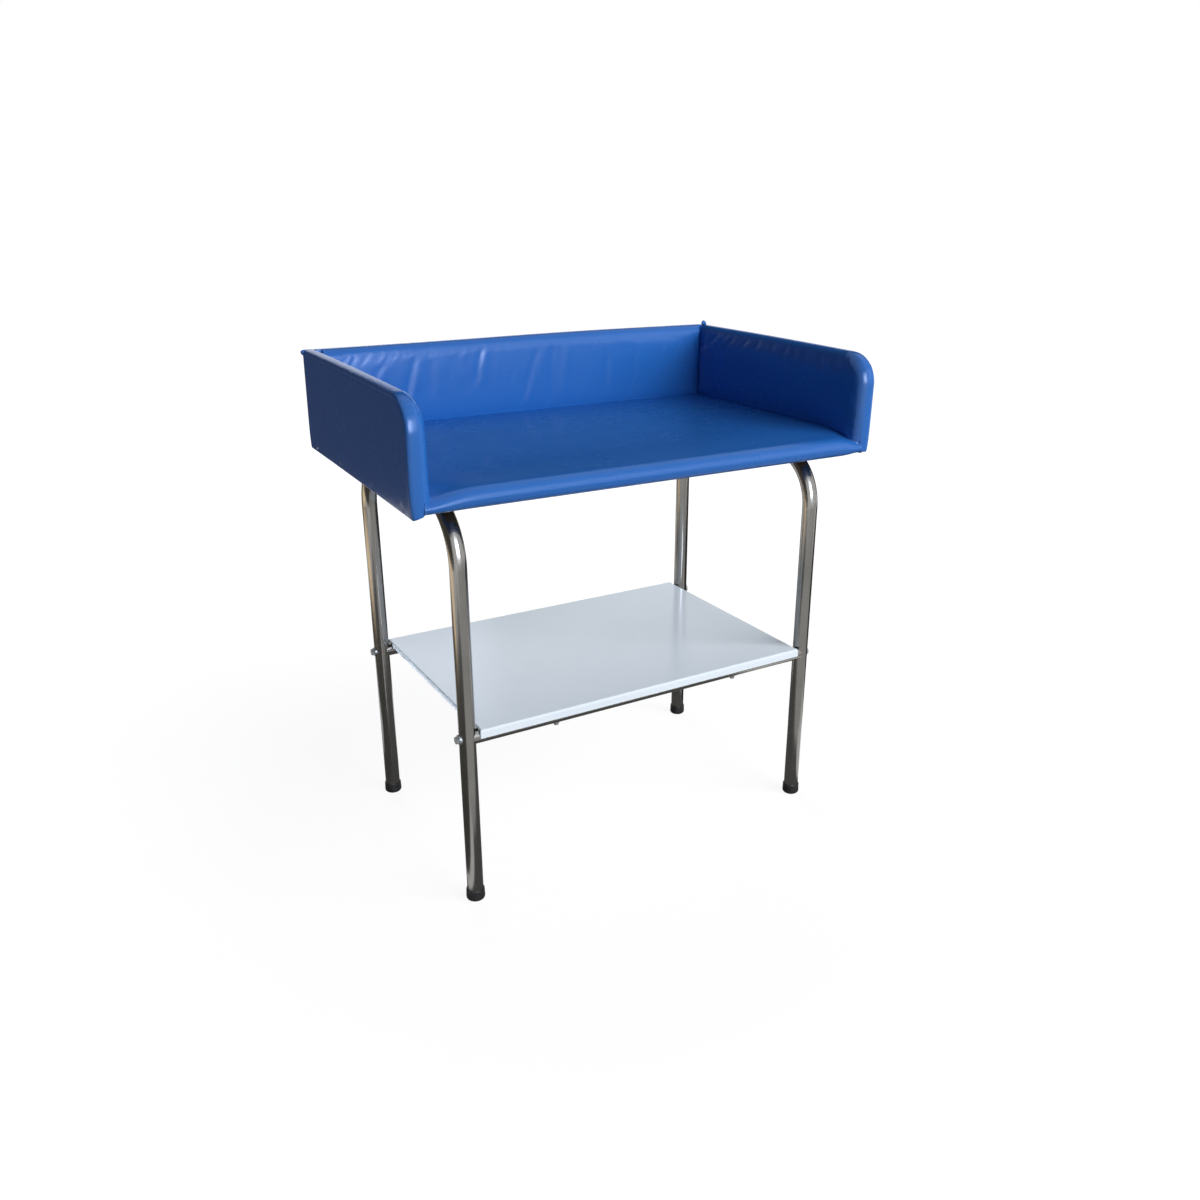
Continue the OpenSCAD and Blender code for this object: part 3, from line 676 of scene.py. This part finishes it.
def pressCrease(u, v, c, width):
    # a narrow valley with a soft ridge on its right
    along = (c["top"] - v) / (c["top"] - c["low"])
    ends = np.clip((along + 0.08) / 0.2, 0, 1) * np.clip((1.12 - along) / 0.3, 0, 1)
    t = (u - c["from"] - (c["to"] - c["from"]) * np.clip(along, 0, 1)) / width
    return c["depth"] * ends * (0.7 * bell((t - 1.9) / 1.2) - bell(t))


def creaseBack(points, free, s):
    # standing creases and faint ruckles where the skin of the back is loose across its width
    out = points.copy()
    draw = np.random.default_rng(7)
    u, v = points[:, 0], points[:, 1]
    lift = np.zeros(len(points))
    for c in creases:
        lift += pressCrease(u, v, c, s["creaseWidth"])
    for i in range(s["ruckles"]):
        start = draw.uniform(s["box"][0] + 0.03, s["box"][2] - 0.1)
        small = {"from": start, "to": start + draw.uniform(-0.02, 0.008), "top": draw.uniform(0.13, 0.17)}
        small["low"] = small["top"] - draw.uniform(0.03, 0.09)
        small["depth"] = draw.uniform(0.1, 0.32)
        lift += pressCrease(u, v, small, draw.uniform(0.004, 0.011))
    out[:, 2] += s["creaseDepth"] * lift * free
    out[:, 1] += s["crest"] * bell((u - 0.15) / 0.3) * np.clip((v - 0.12) / 0.06, 0, 1)
    return out


deckPad = {
    "name": "deck_pad", "lies": "deck", "stands": ["deck_cover", "deck_foam"],
    "box": (-deckWide / 2, -bed["depth"] / 2, deckWide / 2, deckEnd),
    "radii": (tightR,) * 4, "spacing": (0.0068, 0.0068), "closer": 0.65, "crown": 0.005,
    "sag": (0.005, 0.0098), "sagEase": 0.45, "push": 0.002, "leftFall": 0.013, "rightFall": 0.010,
    "frontFall": (0.003, 0.007), "filling": (0.0038, 0.0066),
    "edges": [nose, tight, (tightR, 0.003, 0), tight], "heights": (0, bed["board"], bed["deck"]),
    "stiffness": 25, "bending": 1.5, "pressure": 3, "slack": 0.004, "most": 0.0022, "fill": 0.9,
    "shapes": [openBelow, hangNose],
}
sidePad = {
    "box": (-bed["depth"] / 2, 0, bed["depth"] / 2, bed["height"]),
    "radii": (tightR, tightR, tightR, bed["cornerRadius"]), "spacing": (0.0045, 0.0045), "crown": 0.002,
    "closer": 0.5, "swell": 0.002, "swellReach": 0.022, "followReach": 0.03, "followMost": 0.029,
    "pleat": 0.0008,
    "fanTurn": 0.62,     # radians to each side of the corner's middle
    "fanStart": 0.62,    # share of the corner's radius
    "edges": [(tightR, 0.003, deckStep - 0.0015), (tightR, endR, bed["board"] + bed["gap"]), padded, padded],
    "heights": (0, bed["board"], bed["panel"]), "screws": screwPlaces["side"],
    "stiffness": 25, "bending": 1.5, "pressure": 3, "slack": 0.004, "most": 0.002, "fill": 0.9,
    "shapes": [dimple, gather, leanOut],
}
leftPad = {
    **sidePad, "name": "left_side_pad", "lies": "left", "stands": ["left_side_cover", "left_side_foam"],
    "outLow": (0.003, 0.007), "outTop": 0.0035, "topDrop": 0.008, "lowDrop": 0.0085, "ends": (0.0127, 1),
}
rightPad = {
    **sidePad, "name": "right_side_pad", "lies": "right", "stands": ["right_side_cover", "right_side_foam"],
    "outLow": (0.002, 0.006), "outTop": 0.0085, "topDrop": 0.006, "lowDrop": 0.0035, "ends": (1, 0.0127),
    "edges": [*sidePad["edges"][:3], (None, 0.026, 0)],
}
backEnd = (tightR, endR, bed["panel"] - bed["board"] + bed["gap"])
backPad = {
    "name": "back_pad", "lies": "back", "stands": ["back_cover", "back_foam"],
    "box": (-deckWide / 2, 0, deckWide / 2, bed["height"]),
    "radii": (tightR,) * 4, "spacing": (0.0032, 0.0055), "closer": 0.3, "crown": 0.002, "ruckles": 26,
    "creaseWidth": 0.0085, "creaseDepth": 0.0012, "crest": 0.003,
    "edges": [(tightR, 0.002, deckStep - 0.002), backEnd, padded, backEnd],
    "heights": (0, bed["board"], bed["panel"]), "screws": screwPlaces["back"],
    "stiffness": 25, "bending": 1.0, "pressure": 3, "slack": 0.002, "most": 0.0015, "fill": 0.85,
    "shapes": [dimple, creaseBack],
}
for pad in (deckPad, leftPad, rightPad, backPad):
    makePad(pad)

# EARS, folded corners of the skin that stand out at the ends of the back

ears = {
    "left_ear": {"place": (-0.460, 0.271, 0.941), "turn": (20, -70, 0), "size": (0.006, 0.006, 0.009)},
    "right_ear": {"place": (0.447, 0.262, 0.950), "turn": (-8, 10, 0), "size": (0.007, 0.005, 0.010)},
}


def makeEar(name, s):
    # a small pinched fold: flat at its root and drawn to a blunt tip
    across, steps = 12, 6
    points = []
    for i in range(steps + 1):
        t = i / steps
        wide = s["size"][0] * math.sqrt(max(0.02, 1 - t ** 2.2))
        deep = s["size"][1] * math.sqrt(max(0.02, 1 - t ** 1.6)) * (1 - 0.4 * t)
        for k in range(across):
            a = 2 * math.pi * k / across
            points.append((wide * math.cos(a), deep * math.sin(a) + 0.002 * t * t, s["size"][2] * (t - 0.35)))
    faces = []
    for i in range(steps):
        for k in range(across):
            low, turn = i * across, (k + 1) % across
            faces.append((low + k, low + turn, low + across + turn, low + across + k))
    faces += [tuple(range(across - 1, -1, -1)), tuple(steps * across + k for k in range(across))]
    ear = newPiece(name, points, faces)
    ear.location = s["place"]
    ear.rotation_euler = [math.radians(a) for a in s["turn"]]
    dress(ear, vinyl)
    smooth = ear.modifiers.new("smooth", "SUBSURF")
    smooth.levels = smooth.render_levels = 1
    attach(ear, "root")


for name, setup in ears.items():
    makeEar(name, setup)
print("ears folded")

# STAGE

stageSetup = {
    "floorSide": 60,         # metres
    "floorTone": "#808080",
    "shadowTone": "#626262",
    "near": 0.9,             # how white the floor is by itself where the table's shadow falls
    "shadowReach": (0.7, 2.2),  # metres from the middle, where it begins and stops to whiten
    "skyColour": (0.93, 0.96, 1),
    "skyLevel": 0.12,
}


def seenDirectly(tree):
    # 1 for rays that reach the eye straight, by a mirror or through glass
    path = addNode(tree, "ShaderNodeLightPath")
    rays = {0: path.outputs["Is Camera Ray"], 1: path.outputs["Is Glossy Ray"]}
    first = addNode(tree, "ShaderNodeMath", rays, operation="MAXIMUM")
    rays = {0: first.outputs[0], 1: path.outputs["Is Transmission Ray"]}
    return addNode(tree, "ShaderNodeMath", rays, operation="MAXIMUM").outputs[0]


def makeFloor(s):
    half = s["floorSide"] / 2
    corners = [(-half, -half, 0), (half, -half, 0), (half, half, 0), (-half, half, 0)]
    floor = newPiece("floor", corners, [(0, 1, 2, 3)])
    material = bpy.data.materials.new("paleFloor")
    material.use_nodes = True
    tree = material.node_tree
    tree.nodes.clear()
    paint = addNode(tree, "ShaderNodeBsdfDiffuse", values={"Color": fromHex(s["floorTone"])})
    shaded = addNode(tree, "ShaderNodeBsdfDiffuse", values={"Color": fromHex(s["shadowTone"])})
    place = addNode(tree, "ShaderNodeTexCoord").outputs["Object"]
    far = addNode(tree, "ShaderNodeVectorMath", {0: place}, operation="LENGTH")
    start, end = s["shadowReach"]
    fades = {"From Min": start, "From Max": end, "To Min": s["near"], "To Max": 1}
    level = addNode(tree, "ShaderNodeMapRange", {"Value": far.outputs["Value"]}, fades)
    glow = {"Strength": level.outputs["Result"]}
    white = addNode(tree, "ShaderNodeEmission", glow, {"Color": (1, 1, 1, 1)})
    seen = addNode(tree, "ShaderNodeAddShader", {0: shaded.outputs[0], 1: white.outputs[0]})
    split = {0: seenDirectly(tree), 1: paint.outputs[0], 2: seen.outputs[0]}
    both = addNode(tree, "ShaderNodeMixShader", split)
    addNode(tree, "ShaderNodeOutputMaterial", {"Surface": both.outputs[0]})
    floor.data.materials.append(material)


def makeWorld(s):
    world = bpy.data.worlds.new("studio")
    scene.world = world
    world.use_nodes = True
    tree = world.node_tree
    tree.nodes.clear()
    dusk = {"Color": (*s["skyColour"], 1), "Strength": s["skyLevel"]}
    dim = addNode(tree, "ShaderNodeBackground", values=dusk)
    white = addNode(tree, "ShaderNodeBackground", values={"Color": (1, 1, 1, 1), "Strength": 1})
    split = {0: seenDirectly(tree), 1: dim.outputs[0], 2: white.outputs[0]}
    both = addNode(tree, "ShaderNodeMixShader", split)
    addNode(tree, "ShaderNodeOutputWorld", {"Surface": both.outputs[0]})


# area lamps in watts; the low one lifts the left face and the strip lifts the shelf's left flange
lamps = {
    "keyLamp": {
        "place": (3.5, -5.9, 3.7), "target": (0, 0, 0.7), "size": (6.6, 4.1),
        "power": 760, "colour": "#fffdf9", "spread": 180,
    },
    "rearLamp": {
        "place": (0.6, 4.0, 1.7), "target": (0, 0, 0.4), "size": (3.0, 1.2),
        "power": 90, "colour": "#f4f8ff", "spread": 180,
    },
    "lowLeftLamp": {
        "place": (-2.7, 0.2, 0.35), "target": (-0.46, 0, 0.85), "size": (1.6, 0.5),
        "power": 7, "colour": "#f4f8ff", "spread": 180,
    },
    "shelfLamp": {
        "place": (-1.0, 0.0, 0.2), "target": (-0.36, 0, 0.34), "size": (0.9, 0.08),
        "power": 0.5, "colour": "#f4f8ff", "spread": 45,
    },
}


def makeLamp(name, s):
    data = bpy.data.lights.new(name, "AREA")
    data.shape = "RECTANGLE"
    data.size, data.size_y = s["size"]
    data.energy = s["power"]
    data.color = fromHex(s["colour"])[:3]
    data.spread = math.radians(s["spread"])
    lamp = bpy.data.objects.new(name, data)
    scene.collection.objects.link(lamp)
    lamp.visible_glossy = lamp.visible_camera = False
    lamp.location = s["place"]
    toTarget = Vector(s["target"]) - Vector(s["place"])
    lamp.rotation_euler = toTarget.to_track_quat("-Z", "Y").to_euler()


def standing(start, end, heights):
    # the corners of a card that stands upright between two places on the floor
    low, high = heights
    return [(*start, low), (*end, low), (*end, high), (*start, high)]


def lying(height, *places):
    # the corners of a card that lies flat
    return [(*place, height) for place in places]


# what the gloss mirrors: a window, darker or lighter stretches of the room and its floor, and a painted
# shadow under the table
cards = {
    "windowCard": {
        "corners": standing((-1.4, -4.2), (0.5, -4.2), (1.1, 3.1)),
        "colour": "#e2eeff", "strength": 18,
    },
    "shineCard": {
        "corners": standing((-0.3, 1.88), (0.6, 1.88), (0.95, 1.5)),
        "colour": "#f4f8ff", "strength": 1.6,
    },
    "rearCard": {
        "corners": standing((-0.9, 1.9), (3.6, 1.9), (1.5, 3.6)),
        "colour": "#2c2f36", "strength": 1,
    },
    "rearLeftCard": {
        "corners": standing((-2.6, 1.7), (-0.4, 1.9), (0, 3.6)),
        "colour": "#55514c", "strength": 1,
    },
    "leftCard": {
        "corners": standing((-2.6, -1.2), (-2.6, 1.7), (0, 2.6)),
        "colour": "#5a5753", "strength": 1,
    },
    "rightCard": {
        "corners": standing((2.9, 2.0), (2.9, -0.4), (0.4, 2.6)),
        "colour": "#303338", "strength": 1,
    },
    "leftMat": {
        "corners": lying(0.002, (-0.42, -0.12), (-1.1, -1.35), (-1.6, -1.35), (-1.6, 1.3)),
        "colour": "#5c5b59", "strength": 1,
    },
    "rearLeftMat": {
        "corners": lying(0.002, (-0.42, -0.12), (-1.6, 1.3), (-0.42, 1.3), (-0.40, 0.3)),
        "colour": "#5c5b59", "strength": 1,
    },
    "warmMat": {
        "corners": lying(0.003, (-2.9, -0.1), (-1.5, -0.1), (-1.5, 2.1), (-2.9, 2.1)),
        "colour": "#ecd6b4", "strength": 2.3,
    },
    # a grey sheet on the floor under the table: painted shadow, which the tubes and gloss mirror
    "mirroredShadowMat": {
        "corners": lying(0.003, (-0.42, -0.48), (0.44, -0.48), (0.44, 0.35), (-0.42, 0.35)),
        "colour": "#6a6a6a", "strength": 1,
    },
    "rearRightMat": {
        "corners": lying(0.002, (-0.15, 0.7), (0.9, -0.3), (1.6, -1.0), (3.4, -1.2), (3.4, 3.0), (0.6, 2.6)),
        "colour": "#3c3c3c", "strength": 1,
    },
    "frontMat": {
        "corners": lying(0.001, (-1.5, -4.3), (2.4, -4.3), (1.6, -0.5), (-1.1, -0.5)),
        "colour": "#cbcbc9", "strength": 1,
    },
    "frontRightMat": {
        "corners": lying(0.002, (1.95, -2.2), (4.6, -2.0), (5.6, -4.9), (2.5, -4.9)),
        "colour": "#aeaeac", "strength": 1,
    },
    "flangeMat": {
        "corners": lying(0.0035, (-0.72, 0.34), (-0.5, 0.34), (-0.5, 0.98), (-0.72, 0.98)),
        "colour": "#eef3f6", "strength": 1.2,
    },
}


def makeCard(name, s):
    # a studio card that only shows in reflections
    card = newPiece(name, s["corners"], [range(len(s["corners"]))])
    material = bpy.data.materials.new(name)
    material.use_nodes = True
    tree = material.node_tree
    tree.nodes.clear()
    light = {"Color": fromHex(s["colour"]), "Strength": s["strength"]}
    glow = addNode(tree, "ShaderNodeEmission", values=light)
    addNode(tree, "ShaderNodeOutputMaterial", {"Surface": glow.outputs[0]})
    card.data.materials.append(material)
    card.visible_camera = card.visible_diffuse = card.visible_shadow = False


makeFloor(stageSetup)
makeWorld(stageSetup)
for name, setup in cards.items():
    makeCard(name, setup)
for name, setup in lamps.items():
    makeLamp(name, setup)
scene.view_settings.view_transform = "Standard"
print("stage lit")
